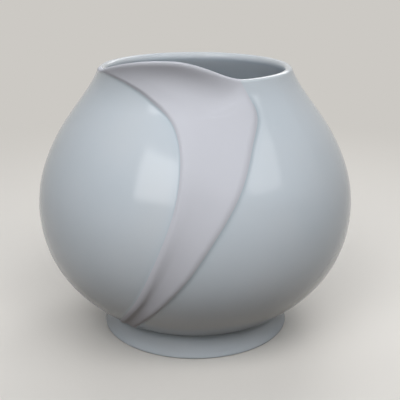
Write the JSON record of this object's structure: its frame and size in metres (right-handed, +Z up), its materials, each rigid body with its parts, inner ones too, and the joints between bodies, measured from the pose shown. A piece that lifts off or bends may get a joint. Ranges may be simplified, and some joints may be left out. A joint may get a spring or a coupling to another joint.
{
  "type": "ball vase",
  "caption": "Round white porcelain vase on a low foot ring, glossy, with a matte petal in relief that climbs the front and rises above the rim as a flared lip. It holds cut stems in water.",
  "frame": {"origin": "centre of the foot ring's tread, on the surface that the vase stands on", "axes": "+Z up along the axis of the ball, -Y towards the front with the petal, +X to the right as the front is seen"},
  "size_m": [0.13, 0.1312, 0.1189],
  "materials": {
    "glazed_porcelain": "clear glossy glaze over white porcelain",
    "bisque_porcelain": "unglazed, smooth matte bisque"
  },
  "bodies": {
    "root": {"body_shell": "glazed_porcelain", "matte_petal": "bisque_porcelain", "foot_ring": "glazed_porcelain"}
  },
  "joints": []
}
